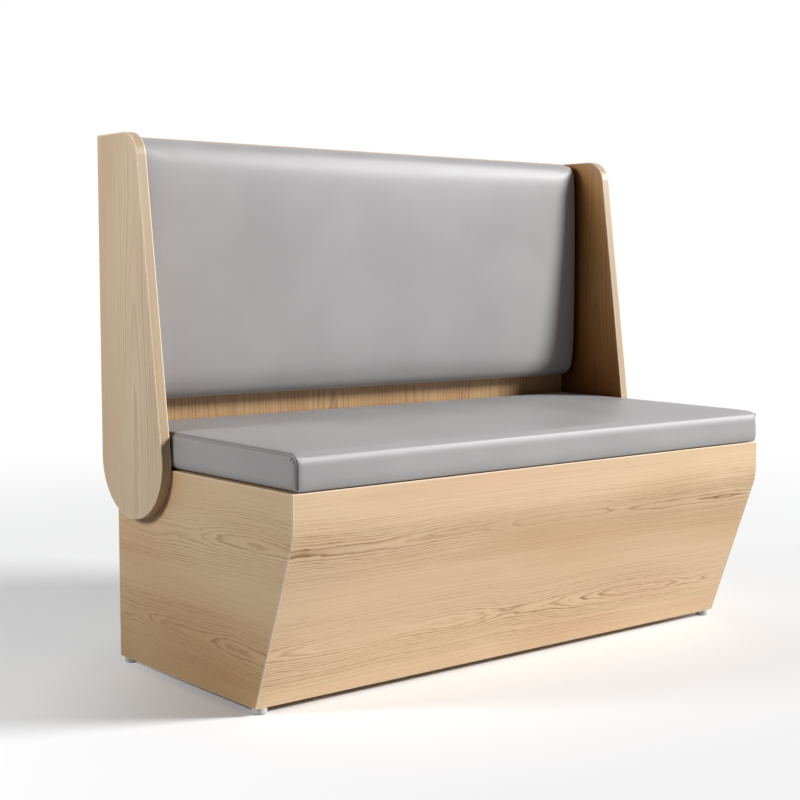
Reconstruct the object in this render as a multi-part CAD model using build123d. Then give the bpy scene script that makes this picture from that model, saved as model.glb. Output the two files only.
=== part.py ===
from build123d import *
import math
import os

# Restaurant booth bench: a canted box base, a winged backrest, a seat pad and a back pad.
# Lengths in millimetres, angles in degrees. X runs along the bench, Y from the front to the rear, Z up.
# The origin is the middle of the footprint, on the floor.

# Base box, measured over its outer faces
base_width = 1200.0
base_depth = 579.0
base_top_height = 392.0
base_board = 21.0
base_back_thickness = 15.0
front_band_height = 74.0
front_setback = 112.0
front_bend_radius = 100.0
arris_radius = 1.5

# Inner frame of the base
rail_depth = 30.0
rail_height = 40.0
post_width = 30.0
rib_thickness = 18.0

# Feet
foot_height = 12.0
foot_radius = 13.5
foot_edge_radius = 3.0
foot_side_inset = 17.0
foot_end_inset = 14.0
foot_recess_radius = 5.5
foot_recess_depth = 5.0

# Wings and back panel
wing_thickness = 21.0
wing_top_height = 1005.0
wing_drop = 100.0
wing_top_depth = 142.0
wing_front_slope = 7.7
wing_corner_radius = 50.0
wing_arris_radius = 2.0
panel_thickness = 21.0
panel_lap = 42.0
dowel_radius = 4.0
dowel_length = 36.0
dowel_in_wing = 13.0
dowel_count = 6
dowel_end_distance = 60.0

# Seat pad
seat_overhang = 10.0
seat_gap = 3.0
seat_side_gap = 3.0
seat_rear_gap = 3.0
seat_height = 67.0
seat_top_radius = 13.0
seat_board_thickness = 15.0

# Back pad
strip_below_back = 50.0
back_top_reveal = 7.0
back_side_gap = 4.0
back_height = 63.0
back_top_radius = 24.0
back_board_thickness = 12.0

# Upholstery, both pads
cover_thickness = 1.5
cover_margin = 50.0
pad_bottom_radius = 5.0
pad_corner_growth = 2.0
pad_board_inset = 8.0
pad_board_corner_radius = 12.0

# Seat battens and felt
batten_width = 20.0
batten_height = 26.0
batten_clearance = 3.0
batten_rear_distance = 12.0
felt_width = 18.0
felt_end_distance = 25.0

# Hanging clips and bumpers
clip_width = 60.0
clip_thickness = 2.0
clip_plate = 22.0
clip_lip = 14.0
clip_side_distance = 200.0
clip_end_distance = 110.0
bumper_radius = 10.0
bumper_distance = 75.0

# Fasteners
bolt_radius = 3.0
bolt_head_radius = 8.5
bolt_head_height = 2.5
bolt_in_insert = 12.0
insert_radius = 5.0
insert_length = 14.0
wing_bolt_count = 3
wing_bolt_spacing = 44.0
wing_bolt_drop = 57.0
wing_bolt_post_distance = 12.0
panel_bolt_count = 4
panel_bolt_end_distance = 90.0
screw_radius = 2.0
screw_head_radius = 4.0
screw_head_height = 2.0
foot_screw_length = 30.0
clip_screw_length = 10.0
clip_screw_spacing = 36.0
batten_screw_count = 3
batten_screw_end_distance = 60.0
batten_screw_grip = 9.0

# Clearances
running_gap = 0.3
hole_clearance = 0.1

# Places worked out from the sizes above
overall_depth = seat_overhang + base_depth + panel_thickness
seat_front_y = -overall_depth / 2
base_front_y = seat_front_y + seat_overhang
base_rear_y = base_front_y + base_depth
wing_rear_y = base_rear_y + panel_thickness
base_end_x = base_width / 2
inner_end_x = base_end_x - base_board
base_bottom_height = foot_height
cant = math.atan2(front_setback, base_top_height - front_band_height - base_bottom_height)
back_face_y = base_rear_y - base_back_thickness
rail_bottom_height = base_top_height - rail_height
wing_bottom_height = base_top_height - wing_drop
panel_bottom_height = base_top_height - panel_lap
clip_gap = 2 * clip_thickness + 3 * running_gap
back_bottom_height = base_top_height + seat_gap + seat_height + strip_below_back

both_sides = ((-1, "left"), (1, "right"))

# Turns that point a fastener's shank, drawn along -Z, the way it is driven
towards = {
    "+X": Rot(0, -90, 0),
    "-X": Rot(0, 90, 0),
    "+Y": Rot(90, 0, 0),
    "-Y": Rot(-90, 0, 0),
    "+Z": Rot(180, 0, 0),
}
outward = {-1: "-X", 1: "+X"}


def block(low, high):
    size = [b - a for a, b in zip(low, high)]
    return Pos(*low) * Box(*size, align=(Align.MIN, Align.MIN, Align.MIN))


def disc(radius, height):
    return Cylinder(radius, height, align=(Align.CENTER, Align.CENTER, Align.MIN))


def rod(radius, length):
    return Cylinder(radius, length, align=(Align.CENTER, Align.CENTER, Align.MAX))


def headed(head_radius, head_height, shank_radius, length):
    return disc(head_radius, head_height) + rod(shank_radius, length)


def spaced(first, last, count):
    if count == 1:
        return [(first + last) / 2]
    return [first + (last - first) * i / (count - 1) for i in range(count)]


def drilled(solid, radius, length, places, direction):
    for place in places:
        solid = solid - Pos(*place) * towards[direction] * rod(radius + hole_clearance, length)
    return solid


def set_of(shape, places, direction):
    return [Pos(*place) * towards[direction] * shape for place in places]


# Side view of the base with its front face drawn in by the given depth
def base_outline(depth):
    bend_height = base_top_height - front_band_height + depth * math.tan(cant / 2)
    top_y = base_front_y + depth
    bottom_y = top_y + (bend_height - base_bottom_height) * math.tan(cant)
    corners = [
        (top_y, base_top_height),
        (top_y, bend_height),
        (bottom_y, base_bottom_height),
        (base_rear_y, base_bottom_height),
        (base_rear_y, base_top_height),
    ]
    face = make_face(Polyline(*corners, close=True))
    bend = face.vertices().sort_by_distance(corners[1])[0]
    return fillet(bend, front_bend_radius - depth)


def extruded_along_bench(outline, low_x, high_x):
    return extrude(Plane.YZ.offset(low_x) * outline, high_x - low_x)


# The side boards are mitred to the front board: their front edges slope back through their thickness
def base_side(sign):
    outer = Plane.YZ.offset(sign * base_end_x) * base_outline(0)
    inner = Plane.YZ.offset(sign * inner_end_x) * base_outline(base_board)
    return loft([outer, inner], ruled=True)


# One board bent over its full width, upright above the bend and canted below, with its ends mitred
def base_front(sides):
    whole = extruded_along_bench(base_outline(0), -base_end_x, base_end_x)
    core = extruded_along_bench(base_outline(base_board), -base_end_x, base_end_x)
    board = whole - core
    for side in sides:
        board = board - side
    return board


def eased_base():
    whole = extruded_along_bench(base_outline(0), -base_end_x, base_end_x)
    return fillet(whole.edges(), arris_radius)


def base_back():
    low = (-inner_end_x, back_face_y, base_bottom_height)
    high = (inner_end_x, base_rear_y, base_top_height)
    return block(low, high)


def inner_space():
    core = extruded_along_bench(base_outline(base_board), -inner_end_x, inner_end_x)
    low = (-inner_end_x, base_front_y, base_bottom_height)
    high = (inner_end_x, back_face_y, base_top_height)
    return core & block(low, high)


# Rails, cleats and posts inside the base, each cut from the same batten stock
def base_frame():
    front_y = base_front_y + base_board
    top = base_top_height
    bottom = base_bottom_height
    post_x = inner_end_x - post_width
    post_y = back_face_y - post_width
    canted_y = front_y + front_setback + rail_depth
    front_rail_y = front_y + rail_depth
    rear_rail_y = back_face_y - rail_depth
    low_rail_top = bottom + rail_height
    end_x = inner_end_x
    low = rail_bottom_height
    canted_rail = block((-end_x, front_y, bottom), (end_x, canted_y, low_rail_top))
    frame = {
        "front_top_rail": block((-end_x, front_y, low), (end_x, front_rail_y, top)),
        "rear_top_rail": block((-end_x, rear_rail_y, low), (end_x, back_face_y, top)),
        "front_bottom_rail": canted_rail & inner_space(),
        "rear_bottom_rail": block((-post_x, rear_rail_y, bottom), (post_x, back_face_y, low_rail_top)),
    }
    for sign, side in both_sides:
        x = sorted((sign * post_x, sign * end_x))
        frame[f"side_cleat_{side}"] = block((x[0], front_rail_y, low), (x[1], rear_rail_y, top))
        frame[f"rear_post_{side}"] = block((x[0], post_y, bottom), (x[1], back_face_y, low))
    return frame


# Upright board across the middle of the base, notched round the rails
def centre_rib(frame):
    low = (-rib_thickness / 2, base_front_y, base_bottom_height)
    high = (rib_thickness / 2, back_face_y, base_top_height)
    rib = inner_space() & block(low, high)
    for name in ("front_top_rail", "rear_top_rail", "front_bottom_rail", "rear_bottom_rail"):
        rib = rib - frame[name]
    return rib


def foot_places():
    bottom_front_y = base_front_y + front_setback
    places = {}
    for sign, side in both_sides:
        x = sign * (base_end_x - foot_side_inset)
        places[f"front_{side}"] = (x, bottom_front_y + foot_end_inset, 0)
        places[f"rear_{side}"] = (x, base_rear_y - foot_end_inset, 0)
    return places


def foot():
    body = disc(foot_radius, foot_height)
    body = fillet(body.edges().sort_by(Axis.Z)[0], foot_edge_radius)
    recess = disc(foot_recess_radius, foot_recess_depth)
    return body - recess - disc(screw_radius + hole_clearance, foot_height)


# Side view of a wing: straight rear edge, slanted front edge, and a foot arc that touches both
def wing_outline():
    slope = math.radians(wing_front_slope)
    height = wing_top_height - wing_bottom_height
    reach = (wing_top_depth + height * math.tan(slope)) * math.cos(slope)
    radius = reach / (1 + math.cos(slope) + math.sin(slope))
    centre_y = wing_rear_y - radius
    centre_z = wing_bottom_height + radius
    top_rear = (wing_rear_y, wing_top_height)
    top_front = (wing_rear_y - wing_top_depth, wing_top_height)
    rear_touch = (wing_rear_y, centre_z)
    lowest = (centre_y, wing_bottom_height)
    front_touch = (centre_y - radius * math.cos(slope), centre_z + radius * math.sin(slope))
    edges = [
        Line(top_rear, rear_touch),
        ThreePointArc(rear_touch, lowest, front_touch),
        Line(front_touch, top_front),
        Line(top_front, top_rear),
    ]
    face = make_face(edges)
    corner = face.vertices().sort_by_distance(top_front)[0]
    return fillet(corner, wing_corner_radius)


def wing(sign):
    x = sorted((sign * base_end_x, sign * (base_end_x + wing_thickness)))
    solid = extruded_along_bench(wing_outline(), x[0], x[1])
    return fillet(solid.faces().filter_by(Axis.X).edges(), wing_arris_radius)


def back_panel():
    low = (-base_end_x, base_rear_y, panel_bottom_height)
    high = (base_end_x, wing_rear_y, wing_top_height)
    panel = block(low, high)
    return fillet(panel.edges().filter_by(Axis.X), arris_radius)


def dowel_places(sign):
    first = panel_bottom_height + dowel_end_distance
    last = wing_top_height - dowel_end_distance
    x = sign * (base_end_x + dowel_in_wing)
    y = (base_rear_y + wing_rear_y) / 2
    return [(x, y, z) for z in spaced(first, last, dowel_count)]


# Wing bolts lie in a row under the cleat and in front of the rear post, clear of the wing's foot arc
def wing_bolt_places(sign):
    last_y = back_face_y - post_width - wing_bolt_post_distance
    z = base_top_height - wing_bolt_drop
    x = sign * inner_end_x
    return [(x, last_y - wing_bolt_spacing * i, z) for i in range(wing_bolt_count)]


def panel_bolt_places():
    first = -inner_end_x + panel_bolt_end_distance
    y = back_face_y - rail_depth
    z = (panel_bottom_height + base_top_height) / 2
    return [(x, y, z) for x in spaced(first, -first, panel_bolt_count)]


def moved_along(places, axis, distance):
    return [tuple(v + distance * (i == axis) for i, v in enumerate(place)) for place in places]


def threaded_insert():
    return rod(insert_radius, insert_length) - rod(bolt_radius + hole_clearance, insert_length)


# Outer shape of a pad that lies on its board: its corners, then its top and bottom edges are rounded
def pad_form(width, depth, height, top_radius, bottom_radius):
    form = block((-width / 2, -depth / 2, 0), (width / 2, depth / 2, height))
    form = fillet(form.edges().filter_by(Axis.Z), top_radius + pad_corner_growth)
    form = fillet(form.faces().sort_by(Axis.Z)[-1].edges(), top_radius)
    return fillet(form.faces().sort_by(Axis.Z)[0].edges(), bottom_radius)


# Cover, foam and board of a pad that lies on its board
def upholstered_pad(width, depth, height, top_radius, board_thickness):
    skin = cover_thickness
    outer = pad_form(width, depth, height, top_radius, pad_bottom_radius)
    inner = Pos(0, 0, skin) * pad_form(
        width - 2 * skin,
        depth - 2 * skin,
        height - 2 * skin,
        top_radius - skin,
        pad_bottom_radius - skin,
    )
    board_top = skin + board_thickness
    open_width = width / 2 - cover_margin
    open_depth = depth / 2 - cover_margin
    opening = block((-open_width, -open_depth, 0), (open_width, open_depth, board_top))
    half_width = width / 2 - pad_board_inset
    half_depth = depth / 2 - pad_board_inset
    board = block((-half_width, -half_depth, skin), (half_width, half_depth, board_top))
    board = fillet(board.edges().filter_by(Axis.Z), pad_board_corner_radius)
    return outer - inner - opening, inner - board, board


def seat_pad():
    depth = base_rear_y - seat_rear_gap - seat_front_y
    pieces = upholstered_pad(
        base_width - 2 * seat_side_gap,
        depth,
        seat_height,
        seat_top_radius,
        seat_board_thickness,
    )
    place = Pos(0, seat_front_y + depth / 2, base_top_height + seat_gap)
    return [place * piece for piece in pieces]


# The back pad is made lying down and stood up: its board faces the panel, a clip's gap away
def back_pad():
    top = wing_top_height - back_top_reveal
    pieces = upholstered_pad(
        base_width - 2 * back_side_gap,
        top - back_bottom_height,
        back_height,
        back_top_radius,
        back_board_thickness,
    )
    rear_y = base_rear_y - clip_gap + cover_thickness
    place = Pos(0, rear_y, (top + back_bottom_height) / 2) * Rot(90, 0, 0)
    return [place * piece for piece in pieces]


# Battens under the seat board drop between the side cleats and between the top rails
batten_front_y = base_front_y + base_board + rail_depth + batten_clearance
batten_rear_y = back_face_y - rail_depth - batten_rear_distance
batten_outer_x = inner_end_x - post_width - batten_clearance
batten_top_height = base_top_height + seat_gap + cover_thickness


def seat_batten(sign):
    x = sorted((sign * batten_outer_x, sign * (batten_outer_x - batten_width)))
    low = (x[0], batten_front_y, batten_top_height - batten_height)
    return block(low, (x[1], batten_rear_y, batten_top_height))


def batten_screw_places():
    first = batten_front_y + batten_screw_end_distance
    last = batten_rear_y - batten_screw_end_distance
    x = batten_outer_x - batten_width / 2
    z = batten_top_height - batten_height
    rows = spaced(first, last, batten_screw_count)
    return [(sign * x, y, z) for sign, side in both_sides for y in rows]


def felt_strips():
    top = base_top_height + seat_gap - running_gap
    half_length = inner_end_x - felt_end_distance
    strips = []
    for y in (base_front_y + base_board, back_face_y - felt_width):
        strips.append(block((-half_length, y, base_top_height), (half_length, y + felt_width, top)))
    return strips


# Bent strip with a flat plate, a step and a lip: the wall clip's lip points up from its panel
def hanging_clip():
    step = clip_thickness + 2 * running_gap
    outline = Polyline(
        (0, 0),
        (clip_thickness, 0),
        (clip_thickness, clip_plate - clip_thickness),
        (clip_thickness + step, clip_plate - clip_thickness),
        (clip_thickness + step, clip_plate + clip_lip),
        (step, clip_plate + clip_lip),
        (step, clip_plate),
        (0, clip_plate),
        close=True,
    )
    half_width = clip_width / 2
    profile = Plane.YZ.offset(-half_width) * make_face(outline)
    clip = extrude(profile, clip_width).mirror(Plane.XZ)
    places = clip_screw_places([(0, 0, 0)], -clip_thickness, clip_plate / 2)
    return drilled(clip, screw_radius, clip_thickness, places, "+Y")


def clip_places():
    x = base_end_x - clip_side_distance
    low = back_bottom_height + clip_end_distance
    high = wing_top_height - back_top_reveal - clip_end_distance
    return [(sign * x, base_rear_y, z) for sign in (-1, 1) for z in (low, high)]


def clip_screw_places(clips, front, rise):
    half = clip_screw_spacing / 2
    return [(x + side * half, y + front, z + rise) for x, y, z in clips for side in (-1, 1)]


def wall_screw_places():
    return clip_screw_places(clip_places(), -clip_thickness, clip_plate / 2)


# A pad clip is a wall clip turned half round, so that its lip points down behind the other's
def pad_clip_rise():
    return 2 * clip_plate + clip_lip + running_gap


def pad_screw_places():
    rise = pad_clip_rise() - clip_plate / 2
    return clip_screw_places(clip_places(), clip_thickness - clip_gap, rise)


def clip_screw():
    return headed(screw_head_radius, screw_head_height, screw_radius, clip_screw_length)


def bumper_places():
    x = base_end_x - bumper_distance
    z = back_bottom_height + bumper_distance
    return [(sign * x, base_rear_y - clip_gap, z) for sign in (-1, 1)]


def foot_screw_places():
    return [(x, y, foot_recess_depth) for x, y, z in foot_places().values()]


def base_parts():
    sides = {side: base_side(sign) for sign, side in both_sides}
    front = base_front(sides.values())
    envelope = eased_base()
    parts = base_frame()
    parts["centre_rib"] = centre_rib(parts)
    parts["felt_strips"] = felt_strips()
    bolts = panel_bolt_places()
    at_back = moved_along(bolts, 1, rail_depth)
    parts["rear_top_rail"] = drilled(parts["rear_top_rail"], bolt_radius, rail_depth, bolts, "+Y")
    back = base_back() & envelope
    parts["base_back"] = drilled(back, bolt_radius, base_back_thickness, at_back, "+Y")
    screws = foot_screw_places()
    parts["base_front"] = drilled(front & envelope, screw_radius, foot_screw_length, screws, "+Z")
    for sign, side in both_sides:
        board = drilled(sides[side] & envelope, screw_radius, foot_screw_length, screws, "+Z")
        bolts = wing_bolt_places(sign)
        parts[f"base_side_{side}"] = drilled(board, bolt_radius, base_board, bolts, outward[sign])
    return parts


def foot_parts():
    parts = {f"foot_{name}": Pos(*place) * foot() for name, place in foot_places().items()}
    screw = headed(screw_head_radius, screw_head_height, screw_radius, foot_screw_length)
    parts["foot_screws"] = set_of(screw, foot_screw_places(), "+Z")
    return parts


def wing_parts():
    parts = {"wing_bolts": [], "wing_inserts": [], "panel_dowels": []}
    bolt = headed(bolt_head_radius, bolt_head_height, bolt_radius, base_board + bolt_in_insert)
    for sign, side in both_sides:
        bolts = wing_bolt_places(sign)
        inserts = moved_along(bolts, 0, sign * base_board)
        dowels = dowel_places(sign)
        body = drilled(wing(sign), insert_radius, insert_length, inserts, outward[sign])
        parts[f"wing_{side}"] = drilled(body, dowel_radius, dowel_length, dowels, outward[-sign])
        parts["wing_bolts"] += set_of(bolt, bolts, outward[sign])
        parts["wing_inserts"] += set_of(threaded_insert(), inserts, outward[sign])
        parts["panel_dowels"] += set_of(rod(dowel_radius, dowel_length), dowels, outward[-sign])
    return parts


def panel_parts():
    bolts = panel_bolt_places()
    inserts = moved_along(bolts, 1, rail_depth + base_back_thickness)
    screws = wall_screw_places()
    panel = drilled(back_panel(), insert_radius, insert_length, inserts, "+Y")
    for sign, side in both_sides:
        panel = drilled(panel, dowel_radius, dowel_length, dowel_places(sign), outward[-sign])
    in_panel = moved_along(screws, 1, clip_thickness)
    bolt_length = rail_depth + base_back_thickness + bolt_in_insert
    bolt = headed(bolt_head_radius, bolt_head_height, bolt_radius, bolt_length)
    return {
        "back_panel": drilled(panel, screw_radius, clip_screw_length - clip_thickness, in_panel, "+Y"),
        "panel_bolts": set_of(bolt, bolts, "+Y"),
        "panel_inserts": set_of(threaded_insert(), inserts, "+Y"),
        "wall_clips": [Pos(*place) * hanging_clip() for place in clip_places()],
        "wall_clip_screws": set_of(clip_screw(), screws, "+Y"),
    }


def seat_parts():
    cover, foam, board = seat_pad()
    screws = batten_screw_places()
    length = batten_height + batten_screw_grip
    parts = {
        "seat_cover": cover,
        "seat_foam": foam,
        "seat_board": drilled(board, screw_radius, length, screws, "+Z"),
        "seat_batten_screws": set_of(
            headed(screw_head_radius, screw_head_height, screw_radius, length), screws, "+Z"
        ),
    }
    for sign, side in both_sides:
        parts[f"seat_batten_{side}"] = drilled(seat_batten(sign), screw_radius, length, screws, "+Z")
    return parts


def back_parts():
    cover, foam, board = back_pad()
    turned = Pos(0, base_rear_y - clip_gap, pad_clip_rise()) * Rot(180, 0, 0)
    screws = pad_screw_places()
    in_board = moved_along(screws, 1, -clip_thickness)
    return {
        "back_cover": cover,
        "back_foam": foam,
        "back_board": drilled(board, screw_radius, clip_screw_length - clip_thickness, in_board, "-Y"),
        "pad_clips": [Pos(x, 0, z) * turned * hanging_clip() for x, y, z in clip_places()],
        "pad_clip_screws": set_of(clip_screw(), screws, "-Y"),
        "back_bumpers": set_of(rod(bumper_radius, clip_gap - running_gap), bumper_places(), "+Y"),
    }


os.makedirs("parts", exist_ok=True)
for make_parts in (base_parts, foot_parts, wing_parts, panel_parts, seat_parts, back_parts):
    for node, shape in make_parts().items():
        if isinstance(shape, list):
            shape = Compound([solid for item in shape for solid in item.solids()])
        export_step(shape, f"parts/{node}.step")
print("parts written")
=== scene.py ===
import bpy
import math
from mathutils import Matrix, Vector


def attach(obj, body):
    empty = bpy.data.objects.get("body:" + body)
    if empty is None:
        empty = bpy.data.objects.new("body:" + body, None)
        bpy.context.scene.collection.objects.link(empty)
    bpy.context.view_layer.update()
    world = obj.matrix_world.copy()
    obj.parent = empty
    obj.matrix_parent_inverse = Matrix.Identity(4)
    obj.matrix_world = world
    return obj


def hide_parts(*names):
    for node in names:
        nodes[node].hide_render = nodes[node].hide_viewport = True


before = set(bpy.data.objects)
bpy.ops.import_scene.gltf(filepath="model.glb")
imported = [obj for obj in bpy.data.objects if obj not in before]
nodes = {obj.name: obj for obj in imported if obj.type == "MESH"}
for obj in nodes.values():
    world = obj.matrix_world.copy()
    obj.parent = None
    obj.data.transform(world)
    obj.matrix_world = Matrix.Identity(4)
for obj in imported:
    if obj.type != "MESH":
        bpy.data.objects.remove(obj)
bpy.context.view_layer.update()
scene = bpy.context.scene
print("frame loaded:", len(nodes), "nodes")


# Small helpers

def deselectAll():
    if bpy.context.object and bpy.context.object.mode != "OBJECT":
        bpy.ops.object.mode_set(mode="OBJECT")
    bpy.ops.object.select_all(action="DESELECT")


def makeActive(obj):
    deselectAll()
    obj.select_set(True)
    bpy.context.view_layer.objects.active = obj


def applyPlace(obj):
    makeActive(obj)
    bpy.ops.object.transform_apply(location=True, rotation=True, scale=True)


def smooth(t):
    t = min(max(t, 0.0), 1.0)
    return t * t * (3 - 2 * t)


def linear(hexText):
    channels = [int(hexText[i:i + 2], 16) / 255 for i in (1, 3, 5)]
    return tuple(c / 12.92 if c <= 0.04045 else ((c + 0.055) / 1.055) ** 2.4 for c in channels) + (1.0,)


def addNode(tree, kind, settings=None, links=None, stops=None):
    node = tree.nodes.new(kind)
    for key, value in (settings or {}).items():
        if isinstance(key, str) and hasattr(node, key):
            setattr(node, key, value)
        else:
            node.inputs[key].default_value = value
    for key, source in (links or {}).items():
        tree.links.new(source, node.inputs[key])
    if stops:
        ramp = node.color_ramp
        while len(ramp.elements) < len(stops):
            ramp.elements.new(0.5)
        for element, (position, colour) in zip(ramp.elements, stops):
            element.position = position
            element.color = linear(colour) if isinstance(colour, str) else (colour, colour, colour, 1)
    return node


def newMaterial(name):
    material = bpy.data.materials.new(name)
    material.use_nodes = True
    material.node_tree.nodes.clear()
    tree = material.node_tree
    shader = addNode(tree, "ShaderNodeBsdfPrincipled")
    addNode(tree, "ShaderNodeOutputMaterial", links={"Surface": shader.outputs["BSDF"]})
    return material, tree, shader


def seenRays(tree):
    # one for what is seen straight, in a gloss or through something clear, nothing for the light it throws
    rays = addNode(tree, "ShaderNodeLightPath")
    straight = addNode(tree, "ShaderNodeMath", {"operation": "MAXIMUM"},
                       {0: rays.outputs["Is Camera Ray"], 1: rays.outputs["Is Transmission Ray"]})
    seen = addNode(tree, "ShaderNodeMath", {"operation": "MAXIMUM"},
                   {0: straight.outputs[0], 1: rays.outputs["Is Glossy Ray"]})
    return seen.outputs[0]


def dress(name, material):
    mesh = nodes[name].data
    mesh.materials.clear()
    mesh.materials.append(material)


# Camera, solved from the base's corners in the photograph
cameraLook = {
    "place": (-1.9711, -2.2469, 0.7496),
    "headingDegrees": 39.252,
    "tiltDegrees": -4.905,
    "lens": 67.08,
    "sensor": 36,
}

cameraData = bpy.data.cameras.new("photoCamera")
cameraData.lens = cameraLook["lens"]
cameraData.sensor_width = cameraLook["sensor"]
camera = bpy.data.objects.new("photoCamera", cameraData)
camera.location = cameraLook["place"]
camera.rotation_euler = (
    math.radians(90 + cameraLook["tiltDegrees"]),
    0,
    math.radians(-cameraLook["headingDegrees"]),
)
scene.collection.objects.link(camera)
scene.camera = camera

# Lights: one big softbox far off at the front right, a small one behind the left wing, and a dim room.
# The rest of the light on the left faces comes back from the pale floor.
lightLook = {
    "keyFrom": (49.5, 29, 16.0),  # degrees round from the front to the right, degrees up, metres away
    "keySize": 4.6,
    "keyPower": 3850,
    "keyAim": (0, 0, 0.45),
    "sideFrom": (-105, 24, 2.8),
    "sideSize": 0.8,
    "sidePower": 48,
    "sideAim": (-0.6, 0, 0.5),
    "roomStrength": 0.02,
}


def addSoftbox(name, fromWhere, size, power, aim):
    turn, rise, distance = math.radians(fromWhere[0]), math.radians(fromWhere[1]), fromWhere[2]
    towards = Vector((math.sin(turn) * math.cos(rise), -math.cos(turn) * math.cos(rise), math.sin(rise)))
    data = bpy.data.lights.new(name, "AREA")
    data.shape = "DISK"
    data.size = size
    data.energy = power
    lamp = bpy.data.objects.new(name, data)
    lamp.location = Vector(aim) + towards * distance
    lamp.rotation_euler = towards.to_track_quat("Z", "Y").to_euler()
    scene.collection.objects.link(lamp)


for side in ("key", "side"):
    addSoftbox(side + "Softbox", *(lightLook[side + part] for part in ("From", "Size", "Power", "Aim")))

world = bpy.data.worlds.new("paleRoom")
scene.world = world
world.use_nodes = True
world.node_tree.nodes.clear()
roomLight = addNode(world.node_tree, "ShaderNodeBackground",
                    {"Color": linear("#ffffff"), "Strength": lightLook["roomStrength"]})
roomSeen = addNode(world.node_tree, "ShaderNodeBackground", {"Color": linear("#ffffff"), "Strength": 1.0})
roomMix = addNode(world.node_tree, "ShaderNodeMixShader",
                  links={0: seenRays(world.node_tree), 1: roomLight.outputs[0], 2: roomSeen.outputs[0]})
addNode(world.node_tree, "ShaderNodeOutputWorld", links={"Surface": roomMix.outputs[0]})

scene.view_settings.view_transform = "Standard"
print("camera and lights set")

# Floor: a matt sheet that looks white, fades into the white behind it and keeps the bench's shadow
floorLook = {
    "size": 24.0,
    "colour": "#f3f4f6",
    "bounce": "#dddcdb",
    "bounceLeft": "#918f8d",
    "leftReach": (0.5, 0.8),
    "bounceInFront": "#77767a",
    "frontReach": (0.8, 1.6),
    "roughness": 0.9,
    "glowFrom": (-0.1, -0.35, 0),
    "nearGlow": 0.42,
    "underReach": (0.55, 0.95),
    "fadeReach": (1.15, 4.0),
}

bpy.ops.mesh.primitive_plane_add(size=floorLook["size"], location=(0, 0, 0))
floor = bpy.context.object
floor.name = "studioFloor"
floorMaterial, tree, shader = newMaterial("paleStudioFloor")
shader.inputs["Roughness"].default_value = floorLook["roughness"]
shader.inputs["Specular IOR Level"].default_value = 0.0
seenFloor = seenRays(tree)
floorPlace = addNode(tree, "ShaderNodeTexCoord")
floorAxes = addNode(tree, "ShaderNodeSeparateXYZ", links={0: floorPlace.outputs["Object"]})
# the sheet throws less light back on the bench's left, and from further in front, as with dark cloths there
leftNear, leftFar = floorLook["leftReach"]
onLeft = addNode(tree, "ShaderNodeMapRange",
                 {"interpolation_type": "SMOOTHSTEP", 1: -leftNear, 2: -leftFar},
                 {0: floorAxes.outputs["X"]})
bounceColours = {6: linear(floorLook["bounce"]), 7: linear(floorLook["bounceLeft"])}
bounceRound = addNode(tree, "ShaderNodeMix", {"data_type": "RGBA", **bounceColours}, {0: onLeft.outputs[0]})
frontNear, frontFar = floorLook["frontReach"]
inFront = addNode(tree, "ShaderNodeMapRange",
                  {"interpolation_type": "SMOOTHSTEP", 1: -frontNear, 2: -frontFar},
                  {0: floorAxes.outputs["Y"]})
bounce = addNode(tree, "ShaderNodeMix", {"data_type": "RGBA", 7: linear(floorLook["bounceInFront"])},
                 {0: inFront.outputs[0], 6: bounceRound.outputs[2]})
floorColour = addNode(tree, "ShaderNodeMix", {"data_type": "RGBA", 7: linear(floorLook["colour"])},
                      {0: seenFloor, 6: bounce.outputs[2]})
tree.links.new(floorColour.outputs[2], shader.inputs["Base Color"])
# where it is seen it glows, not at all close round the bench and more further out, which paints light into
# the bench's shadow beyond the base, and it brightens away from the bench until it can't be told from the
# white behind it
fromBench = addNode(tree, "ShaderNodeVectorMath", {"operation": "DISTANCE", 1: floorLook["glowFrom"]},
                    {0: floorPlace.outputs["Object"]})
underNear, underFar = floorLook["underReach"]
near = addNode(tree, "ShaderNodeMapRange",
               {"interpolation_type": "SMOOTHSTEP", 1: underNear, 2: underFar, 4: floorLook["nearGlow"]},
               {0: fromBench.outputs["Value"]})
fadeNear, fadeFar = floorLook["fadeReach"]
fade = addNode(tree, "ShaderNodeMapRange", {"interpolation_type": "SMOOTHSTEP", 1: fadeNear, 2: fadeFar},
               {0: fromBench.outputs["Value"], 3: near.outputs[0]})
glowShare = addNode(tree, "ShaderNodeMath", {"operation": "MULTIPLY"}, {0: seenFloor, 1: fade.outputs[0]})
glow = addNode(tree, "ShaderNodeEmission", {"Color": linear("#ffffff"), "Strength": 1.0})
floorMix = addNode(tree, "ShaderNodeMixShader",
                   links={0: glowShare.outputs[0], 1: shader.outputs[0], 2: glow.outputs[0]})
tree.links.new(floorMix.outputs[0], tree.nodes["Material Output"].inputs["Surface"])
floor.data.materials.append(floorMaterial)
print("floor laid")


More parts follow.
